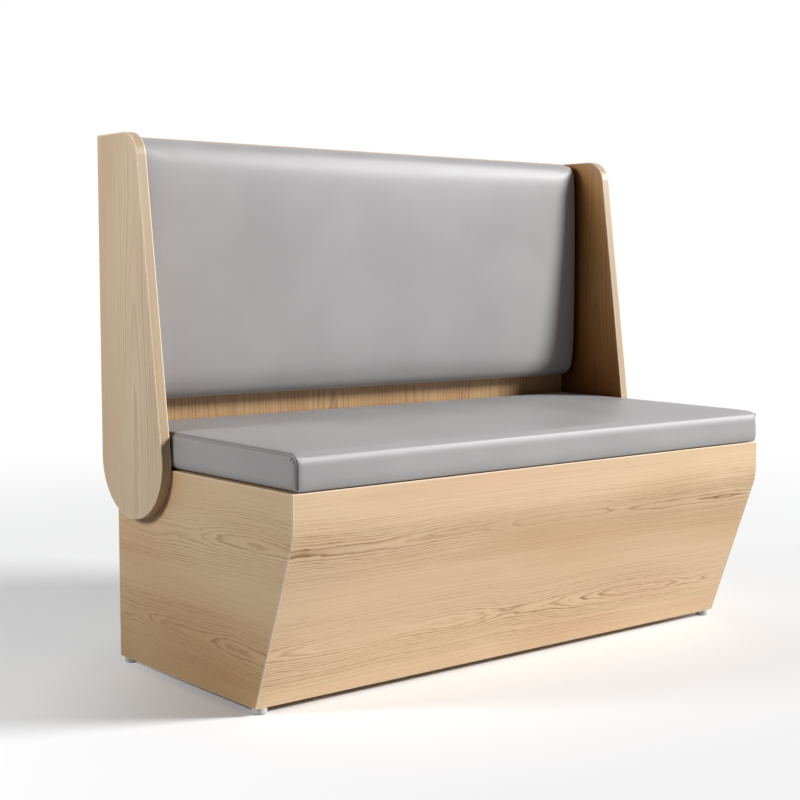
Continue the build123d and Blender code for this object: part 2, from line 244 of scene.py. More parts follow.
# Woods: sliced ash veneer on the boards that show, pine and plywood inside.
# Local X of the pattern runs along the grain, Y across the face and Z through the board. Scales are repeats
# a metre along these three, and a span is the part of a noise that is stretched over the values it drives.
patternLook = {
    "edgeBelow": 0.7,
    "noiseSpan": (0.25, 0.75),
    "swayScale": (1.3, 2.2, 3.7),
    "hillsThrough": 3.7,
    "hillRoughness": 0.45,
    "wobbleScale": (19.0, 210.0, 210.0),
    "lateWood": [(0.0, 0.5), (0.1, 0.0), (0.45, 0.06), (0.72, 0.34), (0.9, 1.0), (1.0, 0.6)],
    "patchScale": (1.9, 8.0, 1.0),
    "patchSpan": (0.35, 0.65),
    "patchStrength": (0.45, 1.15),
    "heartReach": (0.2, 0.42),
    "ringStrength": (0.2, 1.0),
    "fibresAlong": 3.2,
    "fibreRoughness": 0.6,
    "fibreSpan": (0.3, 0.7),
    "poresAlong": 70.0,
    "poreWidth": 0.0011,
    "poreSpan": (0.6, 0.75),
    "poreRelief": -0.8,
    "toneScale": (1.1, 5.5, 1.0),
    "toneShift": (3.1, 1.7, 0),
    "toneStops": (0.34, 0.52, 0.7),
    "plies": [(0.0, "#ffffff"), (0.46, "#fff8ee"), (0.5, "#8d6746"), (0.54, "#b8946d"), (0.96, "#b08b64"),
              (1.0, "#8d6746")],
    "paintedShadeStops": (0.2, 0.5, 0.75, 0.95),
    "besideArris": (0.997, 0.9),
    "onArris": [(0.1, 0.0), (0.2, 1.0), (0.85, 1.0), (0.92, 0.0)],
    "arrisGloss": -0.14,
    "glossSpread": (-0.05, 0.09),
    "reliefHeight": 0.0004,
    "refraction": 1.5,
}


def boardAxes(tree, look):
    turn = tuple(math.radians(a) for a in look["turn"])
    place = addNode(tree, "ShaderNodeTexCoord")
    spot = addNode(tree, "ShaderNodeMapping", {"Rotation": turn, "Location": look["shift"]},
                   {"Vector": place.outputs["Object"]})
    facing = addNode(tree, "ShaderNodeMapping", {"Rotation": turn}, {"Vector": place.outputs["Normal"]})
    along = addNode(tree, "ShaderNodeSeparateXYZ", links={0: spot.outputs[0]})
    out = addNode(tree, "ShaderNodeSeparateXYZ", links={0: facing.outputs[0]})
    flatness = addNode(tree, "ShaderNodeMath", {"operation": "ABSOLUTE"}, {0: out.outputs["Z"]})
    edge = addNode(tree, "ShaderNodeMath", {"operation": "LESS_THAN", 1: patternLook["edgeBelow"]},
                   {0: flatness.outputs[0]})
    # on a board's edge the lines run along it, so they follow the thickness there
    across = addNode(tree, "ShaderNodeMix", {"data_type": "FLOAT"},
                     {0: edge.outputs[0], 2: along.outputs["Y"], 3: along.outputs["Z"]})
    flat = addNode(tree, "ShaderNodeCombineXYZ",
                   links={0: along.outputs["X"], 1: across.outputs[0], 2: edge.outputs[0]})
    return along, across.outputs[0], flat.outputs[0], edge.outputs[0], flatness.outputs[0]


def yearRings(tree, look, grainWay, across, flat):
    # the knife runs close to the log's heart along each leaf's middle, so the rings open into long
    # cathedrals there and close up to straight lines beside them
    noiseLow, noiseHigh = patternLook["noiseSpan"]
    slowMap = addNode(tree, "ShaderNodeMapping", {"Scale": patternLook["swayScale"]}, {"Vector": flat})
    slow = addNode(tree, "ShaderNodeTexNoise", {"Scale": 1.0, "Detail": 1.0}, {"Vector": slowMap.outputs[0]})
    sway = addNode(tree, "ShaderNodeMapRange", {1: noiseLow, 2: noiseHigh, 3: -look["sway"], 4: look["sway"]},
                   {0: slow.outputs[0]})
    fromHeart = addNode(tree, "ShaderNodeMath", {"operation": "ADD"}, {0: across, 1: sway.outputs[0]})
    aside = addNode(tree, "ShaderNodeMath", {"operation": "PINGPONG", 1: look["leaf"] / 2},
                    {0: fromHeart.outputs[0]})
    figureScale = (1 / look["figureLength"], 1 / look["figureWidth"], patternLook["hillsThrough"])
    figure = addNode(tree, "ShaderNodeMapping",
                     {"Scale": figureScale, "Location": (look["figureStart"], 0, 0)}, {"Vector": flat})
    hillSettings = {"Scale": 1.0, "Detail": look["figureDetail"], "Roughness": patternLook["hillRoughness"]}
    hills = addNode(tree, "ShaderNodeTexNoise", hillSettings, {"Vector": figure.outputs[0]})
    hilly = addNode(tree, "ShaderNodeMapRange",
                    {1: noiseLow, 2: noiseHigh, 3: look["deepest"], 4: look["shallowest"]},
                    {0: hills.outputs[0]})
    # the log tapers, so most cathedrals point the same way
    depth = addNode(tree, "ShaderNodeMath", {"operation": "MULTIPLY_ADD", 1: -look["taper"]},
                    {0: grainWay, 2: hilly.outputs[0]})
    asideSquare = addNode(tree, "ShaderNodeMath", {"operation": "MULTIPLY"},
                          {0: aside.outputs[0], 1: aside.outputs[0]})
    radiusSquare = addNode(tree, "ShaderNodeMath", {"operation": "MULTIPLY_ADD"},
                           {0: depth.outputs[0], 1: depth.outputs[0], 2: asideSquare.outputs[0]})
    radius = addNode(tree, "ShaderNodeMath", {"operation": "SQRT"}, {0: radiusSquare.outputs[0]})
    ripple = addNode(tree, "ShaderNodeMapping", {"Scale": patternLook["wobbleScale"]}, {"Vector": flat})
    wobble = addNode(tree, "ShaderNodeTexNoise", {"Scale": 1.0, "Detail": 2.0}, {"Vector": ripple.outputs[0]})
    wobbleSmall = addNode(tree, "ShaderNodeMath", {"operation": "MULTIPLY", 1: look["wobble"]},
                          {0: wobble.outputs[0]})
    rings = addNode(tree, "ShaderNodeMath", {"operation": "MULTIPLY_ADD", 1: 1 / look["ringWidth"]},
                    {0: radius.outputs[0], 2: wobbleSmall.outputs[0]})
    phase = addNode(tree, "ShaderNodeMath", {"operation": "FRACT"}, {0: rings.outputs[0]})
    lateWood = addNode(tree, "ShaderNodeValToRGB", links={0: phase.outputs[0]}, stops=patternLook["lateWood"])

    # some rings, some patches and the hearts show more than the rest
    ringNumber = addNode(tree, "ShaderNodeMath", {"operation": "FLOOR"}, {0: rings.outputs[0]})
    ringChance = addNode(tree, "ShaderNodeTexWhiteNoise", {"noise_dimensions": "1D"},
                         {"W": ringNumber.outputs[0]})
    faintRing, clearRing = patternLook["ringStrength"]
    chance = addNode(tree, "ShaderNodeMapRange", {3: faintRing, 4: clearRing},
                     {0: ringChance.outputs["Value"]})
    patchMap = addNode(tree, "ShaderNodeMapping", {"Scale": patternLook["patchScale"]}, {"Vector": flat})
    patches = addNode(tree, "ShaderNodeTexNoise", {"Scale": 1.0, "Detail": 1.0},
                      {"Vector": patchMap.outputs[0]})
    patchRange = dict(enumerate(patternLook["patchSpan"] + patternLook["patchStrength"], 1))
    patch = addNode(tree, "ShaderNodeMapRange", patchRange, {0: patches.outputs[0]})
    heartNear, heartFar = (share * look["leaf"] for share in patternLook["heartReach"])
    heart = addNode(tree, "ShaderNodeMapRange",
                    {"interpolation_type": "SMOOTHSTEP", 1: heartNear, 2: heartFar, 3: 1.0,
                     4: look["besideHeart"]},
                    {0: aside.outputs[0]})
    strength = addNode(tree, "ShaderNodeMath", {"operation": "MULTIPLY", 1: look["lineStrength"]},
                       {0: lateWood.outputs["Color"]})
    for share in (patch, chance, heart):
        strength = addNode(tree, "ShaderNodeMath", {"operation": "MULTIPLY"},
                           {0: strength.outputs[0], 1: share.outputs[0]})
    return strength.outputs[0]


def fibresAndPores(tree, look, flat):
    # fibres about 4 mm apart and pores about 1 mm, drawn coarser than ash has them so that they show
    fibreScale = (patternLook["fibresAlong"], 1 / look["fibreWidth"], 1 / look["fibreWidth"])
    fibreMap = addNode(tree, "ShaderNodeMapping", {"Scale": fibreScale}, {"Vector": flat})
    fibres = addNode(tree, "ShaderNodeTexNoise",
                     {"Scale": 1.0, "Detail": 3.0, "Roughness": patternLook["fibreRoughness"]},
                     {"Vector": fibreMap.outputs[0]})
    poreScale = (patternLook["poresAlong"], 1 / patternLook["poreWidth"], 1 / patternLook["poreWidth"])
    poreMap = addNode(tree, "ShaderNodeMapping", {"Scale": poreScale}, {"Vector": flat})
    pores = addNode(tree, "ShaderNodeTexNoise", {"Scale": 1.0, "Detail": 1.0}, {"Vector": poreMap.outputs[0]})
    poreLow, poreHigh = patternLook["poreSpan"]
    poreMask = addNode(tree, "ShaderNodeMapRange", {1: poreLow, 2: poreHigh}, {0: pores.outputs[0]})
    return fibres.outputs[0], poreMask.outputs[0]


def woodColour(tree, look, flat, lines, fibres, pores):
    toneMap = addNode(tree, "ShaderNodeMapping",
                      {"Scale": patternLook["toneScale"], "Location": patternLook["toneShift"]},
                      {"Vector": flat})
    tones = addNode(tree, "ShaderNodeTexNoise", {"Scale": 1.0, "Detail": 2.0}, {"Vector": toneMap.outputs[0]})
    ground = addNode(tree, "ShaderNodeValToRGB", links={0: tones.outputs[0]},
                     stops=list(zip(patternLook["toneStops"], (look["warm"], look["pale"], look["rosy"]))))
    lined = addNode(tree, "ShaderNodeMix", {"data_type": "RGBA", 7: linear(look["line"])},
                    {0: lines, 6: ground.outputs[0]})
    fibreLow, fibreHigh = patternLook["fibreSpan"]
    fibreTone = addNode(tree, "ShaderNodeMapRange",
                        {1: fibreLow, 2: fibreHigh, 3: 1 - look["fibre"], 4: 1 + look["fibre"]}, {0: fibres})
    poreTone = addNode(tree, "ShaderNodeMapRange", {3: 1.0, 4: 1 - look["pore"]}, {0: pores})
    tone = addNode(tree, "ShaderNodeMath", {"operation": "MULTIPLY"},
                   {0: fibreTone.outputs[0], 1: poreTone.outputs[0]})
    shade = addNode(tree, "ShaderNodeCombineColor", links={i: tone.outputs[0] for i in range(3)})
    colour = addNode(tree, "ShaderNodeMix", {"data_type": "RGBA", "blend_type": "MULTIPLY", 0: 1.0},
                     {6: lined.outputs[2], 7: shade.outputs[0]})
    return colour.outputs[2]


def edgeColour(tree, look, colour, edge, through):
    if look.get("ply"):
        # raw edges show the plies, every second one end grain and darker
        plyCount = addNode(tree, "ShaderNodeMath", {"operation": "DIVIDE", 1: 2 * look["ply"]}, {0: through})
        plyPhase = addNode(tree, "ShaderNodeMath", {"operation": "FRACT"}, {0: plyCount.outputs[0]})
        plies = addNode(tree, "ShaderNodeValToRGB", links={0: plyPhase.outputs[0]},
                        stops=patternLook["plies"])
        finished = addNode(tree, "ShaderNodeMix", {"data_type": "RGBA", "blend_type": "MULTIPLY"},
                           {0: edge, 6: colour, 7: plies.outputs["Color"]})
    else:
        # edge bands are ironed on and sanded, which leaves them a shade darker than the face
        finished = addNode(tree, "ShaderNodeMix",
                           {"data_type": "RGBA", "blend_type": "MULTIPLY", 7: linear(look["edgeTint"])},
                           {0: edge, 6: colour})
    return finished.outputs[2]


def paintedCornerShade(tree, look, colour, edge):
    # painted shade: the colour darkens by ambient occlusion where other surfaces come close, as in corners,
    # beside the cushions and near the floor
    near = addNode(tree, "ShaderNodeAmbientOcclusion", {"samples": 4, "Distance": look["cornerReach"]})
    tints = (look["corner"], look["corner2"], look["corner3"], "#ffffff")
    paintedShade = addNode(tree, "ShaderNodeValToRGB", links={0: near.outputs["AO"]},
                     stops=list(zip(patternLook["paintedShadeStops"], tints)))
    onFace = addNode(tree, "ShaderNodeMath", {"operation": "SUBTRACT", 0: 1.0}, {1: edge})
    finished = addNode(tree, "ShaderNodeMix", {"data_type": "RGBA", "blend_type": "MULTIPLY"},
                       {0: onFace.outputs[0], 6: colour, 7: paintedShade.outputs["Color"]})
    return finished.outputs[2]


def paintedArrisHighlight(tree, look, flatness):
    # painted highlight mask: the rounded edge itself and a narrow rim beside it
    trueFace = addNode(tree, "ShaderNodeNewGeometry")
    softened = addNode(tree, "ShaderNodeBevel", {"samples": 6, "Radius": look["arrisWidth"]})
    turned = addNode(tree, "ShaderNodeVectorMath", {"operation": "DOT_PRODUCT"},
                     {0: softened.outputs[0], 1: trueFace.outputs["True Normal"]})
    besideLow, besideHigh = patternLook["besideArris"]
    beside = addNode(tree, "ShaderNodeMapRange", {1: besideLow, 2: besideHigh}, {0: turned.outputs["Value"]})
    rounded = addNode(tree, "ShaderNodeValToRGB", links={0: flatness}, stops=patternLook["onArris"])
    both = addNode(tree, "ShaderNodeMath", {"operation": "MAXIMUM"},
                   {0: beside.outputs[0], 1: rounded.outputs["Color"]})
    arrisHighlight = addNode(tree, "ShaderNodeMath", {"operation": "MULTIPLY", 1: look["arrisHighlightShare"]},
                    {0: both.outputs[0]})
    return arrisHighlight.outputs[0]


def woodMaterial(name, look):
    material, tree, shader = newMaterial(name)
    along, across, flat, edge, flatness = boardAxes(tree, look)
    lines = yearRings(tree, look, along.outputs["X"], across, flat)
    fibres, pores = fibresAndPores(tree, look, flat)
    colour = woodColour(tree, look, flat, lines, fibres, pores)
    colour = edgeColour(tree, look, colour, edge, along.outputs["Z"])
    # painted shade for the boards that are given corner tints
    if look.get("corner"):
        colour = paintedCornerShade(tree, look, colour, edge)
    smoother, rougher = (look["roughness"] + spread for spread in patternLook["glossSpread"])
    gloss = addNode(tree, "ShaderNodeMapRange", {3: smoother, 4: rougher}, {0: fibres})
    if look["arrisHighlightShare"]:
        # painted highlight: the arris is painted paler than the faces, standing in for the light it catches,
        # and its lacquer lies smoother
        arrisHighlight = paintedArrisHighlight(tree, look, flatness)
        highlighted = addNode(tree, "ShaderNodeMix", {"data_type": "RGBA", 7: linear(look["arrisHighlight"])},
                        {0: arrisHighlight, 6: colour})
        colour = highlighted.outputs[2]
        gloss = addNode(tree, "ShaderNodeMath", {"operation": "MULTIPLY_ADD", 1: patternLook["arrisGloss"]},
                        {0: arrisHighlight, 2: gloss.outputs[0]})
    relief = addNode(tree, "ShaderNodeMath", {"operation": "MULTIPLY_ADD", 1: patternLook["poreRelief"]},
                     {0: pores, 2: fibres})
    bump = addNode(tree, "ShaderNodeBump",
                   {"Strength": look["relief"], "Distance": patternLook["reliefHeight"]},
                   {"Height": relief.outputs[0]})
    tree.links.new(colour, shader.inputs["Base Color"])
    tree.links.new(gloss.outputs[0], shader.inputs["Roughness"])
    tree.links.new(bump.outputs[0], shader.inputs["Normal"])
    shader.inputs["IOR"].default_value = patternLook["refraction"]
    shader.inputs["Specular IOR Level"].default_value = look["shine"]
    return material


# Light ash veneer under a satin lacquer: pale straw ground, brown late wood in long cathedrals
ashLook = {
    "turn": (-90, 0, 0),
    "shift": (0.6, -0.105, 0),
    "leaf": 0.18,
    "figureStart": 0.0,
    "figureLength": 0.38,
    "figureWidth": 0.2,
    "figureDetail": 1.6,
    "deepest": 0.008,
    "shallowest": 0.034,
    "taper": 0.012,
    "sway": 0.014,
    "ringWidth": 0.0036,
    "besideHeart": 0.3,
    "wobble": 1.0,
    "lineStrength": 0.95,
    "pale": "#dec29e",
    "warm": "#d6b48e",
    "rosy": "#dbb998",
    "line": "#92673f",
    "edgeTint": "#f2ece6",
    "arrisHighlight": "#fff0d6",
    "arrisHighlightShare": 0.8,
    "arrisWidth": 0.0035,
    "fibre": 0.055,
    "fibreWidth": 0.0042,
    "pore": 0.08,
    "roughness": 0.44,
    "relief": 0.25,
    "shine": 0.25,
}

frontAsh = woodMaterial("ashVeneerFront", ashLook)
# the sides' figure goes on round the mitred corners, and the left one gets painted shade that darkens it
# towards the floor
sideLeftLook = {**ashLook, "turn": (-90, 90, 0), "shift": (-0.305, -0.105, 0), "figureStart": 5.0,
                "lineStrength": 0.85, "corner": "#b09878", "corner2": "#dbcfbc", "corner3": "#efe9df",
                "cornerReach": 0.3}
sideAshLeft = woodMaterial("ashVeneerSideLeft", sideLeftLook)
sideRightLook = {**ashLook, "turn": (-90, -90, 0), "shift": (1.505, -0.105, 0)}
sideAshRight = woodMaterial("ashVeneerSideRight", sideRightLook)
# the wings' corner tints paint strong brown shade onto their inner faces beside the cushions and the seat
wingLook = {**ashLook, "turn": (0, 90, 0), "leaf": 0.24, "figureLength": 1.3, "deepest": 0.04,
            "shallowest": 0.09, "taper": 0.0, "ringWidth": 0.0052, "besideHeart": 0.7, "wobble": 0.6,
            "lineStrength": 0.65, "arrisHighlightShare": 0.9, "arrisWidth": 0.005, "pale": "#d6c0a2",
            "warm": "#ceb292", "rosy": "#d6b99e", "line": "#a8835f", "edgeTint": "#e1dbd0",
            "corner": "#54361a", "corner2": "#d39e60", "corner3": "#f2cf98", "cornerReach": 0.25,
            "shine": 0.4, "roughness": 0.4}
wingAsh = woodMaterial("ashVeneerWing", {**wingLook, "shift": (0.21, -0.16, 0)})
# the panel's leaves are quarter cut: straight brown lines, close together, on a ground given darker and
# browner than the wings'
panelLook = {**wingLook, "turn": (90, 0, 90), "ringWidth": 0.007, "lineStrength": 0.9, "line": "#7f5831",
             "pale": "#b8946a", "warm": "#ab8358", "rosy": "#b38e65", "besideHeart": 1.0, "fibre": 0.1,
             "corner": "", "edgeTint": "#d9cdbb", "arrisHighlightShare": 0.2, "arrisWidth": 0.002}
panelAsh = woodMaterial("ashVeneerPanel", {**panelLook, "shift": (0.4, 0.1, 0)})

dress("base_front", frontAsh)
dress("base_side_left", sideAshLeft)
dress("base_side_right", sideAshRight)
dress("wing_left", wingAsh)
dress("wing_right", wingAsh)
dress("back_panel", panelAsh)

# Inner woods have sharp, unfinished arrises without the painted arris highlight, and don't taper
innerLook = {**ashLook, "arrisHighlightShare": 0.0, "taper": 0.0}

# Raw birch plywood: rotary cut faces with wide wandering figure, plies of 1.5 mm on the edges
birchLook = {**innerLook, "leaf": 0.5, "figureLength": 0.35, "figureWidth": 0.16, "ringWidth": 0.012,
             "sway": 0.08, "pale": "#e2cba6", "warm": "#d8bd94", "rosy": "#dfc3a0", "line": "#c39f74",
             "ply": 0.0015, "roughness": 0.68, "shine": 0.12, "relief": 0.35}
birchLying = woodMaterial("birchPlywoodLying", {**birchLook, "turn": (0, 0, 0), "shift": (0.1, 0.2, 0)})
birchStanding = woodMaterial("birchPlywoodStanding",
                             {**birchLook, "turn": (-90, 0, 0), "shift": (0.3, 0.1, 0)})
birchAcross = woodMaterial("birchPlywoodAcross", {**birchLook, "turn": (-90, 90, 0), "shift": (0.7, 0.1, 0)})
dress("base_back", birchStanding)
dress("back_board", birchStanding)
dress("seat_board", birchLying)
dress("centre_rib", birchAcross)

# Planed pine: yellowish, with clear brown year rings 3 to 4 mm apart
pineLook = {**innerLook, "leaf": 0.09, "figureLength": 0.6, "figureWidth": 0.05, "ringWidth": 0.0038,
            "deepest": 0.01, "shallowest": 0.04, "sway": 0.01, "besideHeart": 0.9, "pale": "#e6cc97",
            "warm": "#dfbf88", "rosy": "#e2c493", "line": "#b98648", "roughness": 0.55, "shine": 0.2}
pineAlong = woodMaterial("pineAlong", {**pineLook, "turn": (0, 0, 0), "shift": (0.2, 0.03, 0.01)})
pineDeep = woodMaterial("pineDeep", {**pineLook, "turn": (0, 0, -90), "shift": (0.5, 0.02, 0.01)})
pineUpright = woodMaterial("pineUpright", {**pineLook, "turn": (0, 90, 0), "shift": (0.8, 0.02, 0.01)})
for name in ("front_top_rail", "rear_top_rail", "front_bottom_rail", "rear_bottom_rail"):
    dress(name, pineAlong)
for name in ("side_cleat_left", "side_cleat_right", "seat_batten_left", "seat_batten_right"):
    dress(name, pineDeep)
for name in ("rear_post_left", "rear_post_right"):
    dress(name, pineUpright)

# Turned beech dowels: pinkish, with short dark flecks
beechLook = {**innerLook, "turn": (0, 0, 0), "shift": (0, 0.02, 0), "leaf": 0.05, "figureLength": 0.3,
             "figureWidth": 0.03, "ringWidth": 0.003, "deepest": 0.01, "shallowest": 0.03, "sway": 0.004,
             "pale": "#dcb68e", "warm": "#d3a67b", "rosy": "#d8ad86", "line": "#a8764c", "roughness": 0.6}
dress("panel_dowels", woodMaterial("beechTurned", beechLook))
print("woods ready")


# Small parts: every finish starts from a body colour, a worn or clouded one and a fine relief
cloudLook = {
    "detail": 3.0,
    "stops": (0.35, 0.65),
    "grainDetail": 2.0,
    "reliefHeight": 0.0003,
}


def plainMaterial(name, look):
    material, tree, shader = newMaterial(name)
    place = addNode(tree, "ShaderNodeTexCoord")
    stretched = addNode(tree, "ShaderNodeMapping", {"Scale": look["stretch"]},
                        {"Vector": place.outputs["Object"]})
    clouds = addNode(tree, "ShaderNodeTexNoise", {"Scale": look["cloudScale"], "Detail": cloudLook["detail"]},
                     {"Vector": stretched.outputs[0]})
    tone = addNode(tree, "ShaderNodeValToRGB", links={0: clouds.outputs[0]},
                   stops=list(zip(cloudLook["stops"], (look["darker"], look["colour"]))))
    grainSettings = {"Scale": look["grainScale"], "Detail": cloudLook["grainDetail"]}
    grain = addNode(tree, "ShaderNodeTexNoise", grainSettings, {"Vector": stretched.outputs[0]})
    smoothest, roughest = look["roughness"]
    rough = addNode(tree, "ShaderNodeMapRange", {3: smoothest, 4: roughest}, {0: clouds.outputs[0]})
    bump = addNode(tree, "ShaderNodeBump",
                   {"Strength": look["relief"], "Distance": cloudLook["reliefHeight"]},
                   {"Height": grain.outputs[0]})
    tree.links.new(tone.outputs["Color"], shader.inputs["Base Color"])
    tree.links.new(rough.outputs[0], shader.inputs["Roughness"])
    tree.links.new(bump.outputs[0], shader.inputs["Normal"])
    shader.inputs["Metallic"].default_value = look["metal"]
    shader.inputs["Sheen Weight"].default_value = look.get("sheen", 0.0)
    return material


smallLooks = {
    # injection moulded polyethylene: pale grey, waxy, spark eroded grain
    "footPlastic": {"colour": "#c3c4c2", "darker": "#b8b9b8", "stretch": (1, 1, 1), "cloudScale": 60.0,
                    "grainScale": 1500.0, "roughness": (0.42, 0.55), "relief": 0.15, "metal": 0.0},
    # zinc plated steel: blue white, faintly clouded by the passivation
    "zincSteel": {"colour": "#c4c7ca", "darker": "#b3b1a8", "stretch": (1, 1, 1), "cloudScale": 90.0,
                  "grainScale": 900.0, "roughness": (0.28, 0.42), "relief": 0.08, "metal": 1.0},
    # turned brass: fine rings round the axis, dulled a little by handling
    "insertBrass": {"colour": "#c9a461", "darker": "#a98145", "stretch": (4, 1, 1), "cloudScale": 80.0,
                    "grainScale": 1200.0, "roughness": (0.25, 0.4), "relief": 0.1, "metal": 1.0},
    # moulded rubber: near black, matt, with a bloom
    "bumperRubber": {"colour": "#2a2a2b", "darker": "#1d1d1e", "stretch": (1, 1, 1), "cloudScale": 120.0,
                     "grainScale": 1800.0, "roughness": (0.7, 0.85), "relief": 0.2, "metal": 0.0},
    # needled wool felt: matted hairs that catch the light at a glance
    "greyFelt": {"colour": "#47474a", "darker": "#39393c", "stretch": (1, 1, 1), "cloudScale": 220.0,
                 "grainScale": 1100.0, "roughness": (0.9, 1.0), "relief": 0.8, "metal": 0.0, "sheen": 0.35},
}
smallNodes = {
    "footPlastic": ("foot_front_left", "foot_front_right", "foot_rear_left", "foot_rear_right"),
    "zincSteel": ("foot_screws", "wing_bolts", "panel_bolts", "wall_clips", "wall_clip_screws",
                  "seat_batten_screws", "pad_clips", "pad_clip_screws"),
    "insertBrass": ("wing_inserts", "panel_inserts"),
    "bumperRubber": ("back_bumpers",),
    "greyFelt": ("felt_strips",),
}
for finish, look in smallLooks.items():
    finishMaterial = plainMaterial(finish, look)
    for name in smallNodes[finish]:
        dress(name, finishMaterial)
print("small parts dressed")


# Leatherette: vinyl coated cloth, calendered with a fine pebble, which gives a soft even sheen.
# The pebble is drawn 1.6 mm wide, about twice the real one, so that it doesn't flicker.
leatheretteLook = {
    "colour": "#a4a2a2",
    "darker": "#9d9b9b",
    "seamShade": "#5c5757",
    "cloudScale": 5.0,
    "cloudDetail": 2.0,
    "pebble": 0.0016,
    "roughness": (0.41, 0.51),
    "relief": 0.1,
    "shine": 0.35,
}


def leatheretteMaterial(name, look):
    material, tree, shader = newMaterial(name)
    place = addNode(tree, "ShaderNodeTexCoord")
    cells = addNode(tree, "ShaderNodeTexVoronoi", {"feature": "SMOOTH_F1", "Scale": 1 / look["pebble"]},
                    {"Vector": place.outputs["Object"]})
    clouds = addNode(tree, "ShaderNodeTexNoise", {"Scale": look["cloudScale"], "Detail": look["cloudDetail"]},
                     {"Vector": place.outputs["Object"]})
    ground = addNode(tree, "ShaderNodeValToRGB", links={0: clouds.outputs[0]},
                     stops=list(zip(cloudLook["stops"], (look["darker"], look["colour"]))))
    # painted shade along the seams, in their folds and at the allowance line, from the attribute the sewing
    # writes
    seamShades = addNode(tree, "ShaderNodeAttribute", {"attribute_name": "seamShade"})
    colour = addNode(tree, "ShaderNodeMix", {"data_type": "RGBA", 7: linear(look["seamShade"])},
                     {0: seamShades.outputs["Fac"], 6: ground.outputs[0]})
    smoothest, roughest = look["roughness"]
    rough = addNode(tree, "ShaderNodeMapRange", {3: smoothest, 4: roughest}, {0: clouds.outputs[0]})
    bump = addNode(tree, "ShaderNodeBump",
                   {"Strength": look["relief"], "Distance": cloudLook["reliefHeight"]},
                   {"Height": cells.outputs["Distance"]})
    tree.links.new(colour.outputs[2], shader.inputs["Base Color"])
    tree.links.new(rough.outputs[0], shader.inputs["Roughness"])
    tree.links.new(bump.outputs[0], shader.inputs["Normal"])
    shader.inputs["Specular IOR Level"].default_value = look["shine"]
    return material


leatherette = leatheretteMaterial("leatheretteGrey", leatheretteLook)
for name in ("seat_cover", "back_cover", "seat_foam", "back_foam"):
    dress(name, leatherette)
print("leatherette ready")


# Cushions: each is made lying on its board, with its thickness along Z, swollen as cloth and stood in place
clothLook = {
    "quality": 4,
    "mass": 0.4,
    "stretch": 25,
    "pressure": 4,
    "frames": 20,
    "strokeForce": 0.5,
}
formLook = {
    "bevelSteps": 5,
    "bottomSteps": 2,
    "crownFlatness": (3.2, 2.6),
    "endFlatness": 6,
    "quickFlatness": 8,
    "sewnCuts": 2,
    "sewnSmoothness": 0.6,
    "underside": 0.004,
}
sameSpot = 1e-5


def editAll(cushion):
    makeActive(cushion)
    bpy.ops.object.mode_set(mode="EDIT")
    bpy.ops.mesh.select_all(action="SELECT")


def bevelEdges(obj, choose, width, steps):
    # bevels the edges whose two ends both pass the test
    bpy.ops.object.mode_set(mode="EDIT")
    bpy.ops.mesh.select_mode(type="EDGE")
    bpy.ops.mesh.select_all(action="DESELECT")
    bpy.ops.object.mode_set(mode="OBJECT")
    verts = obj.data.vertices
    for edge in obj.data.edges:
        first, second = (verts[i].co for i in edge.vertices)
        edge.select = choose(first, second)
    bpy.ops.object.mode_set(mode="EDIT")
    bpy.ops.mesh.bevel(offset=width, segments=steps, affect="EDGES")
    bpy.ops.object.mode_set(mode="OBJECT")


def isUpright(a, b):
    return abs(a.x - b.x) < sameSpot and abs(a.y - b.y) < sameSpot


def makeCushion(look):
    length, depth, thick = look["size"]
    inset = look["inset"]
    flatHeight = thick - look["swell"]
    bpy.ops.mesh.primitive_cube_add(size=1, location=(0, 0, flatHeight / 2))
    cushion = bpy.context.object
    cushion.name = look["name"]
    cushion.scale = (length - 2 * inset, depth - 2 * inset, flatHeight)
    applyPlace(cushion)
    top = max(v.co.z for v in cushion.data.vertices)
    steps, bottomSteps = formLook["bevelSteps"], formLook["bottomSteps"]
    bevelEdges(cushion, isUpright, look["cornerRadius"], steps)
    bevelEdges(cushion, lambda a, b: min(a.z, b.z) > top - sameSpot, look["topRadius"], steps)
    bevelEdges(cushion, lambda a, b: max(a.z, b.z) < sameSpot, look["bottomRadius"], bottomSteps)
    remesh = cushion.modifiers.new("evenMesh", "REMESH")
    remesh.mode = "VOXEL"
    remesh.voxel_size = look["voxel"]
    bpy.ops.object.modifier_apply(modifier="evenMesh")
    swellCushion(cushion, look)
    return cushion


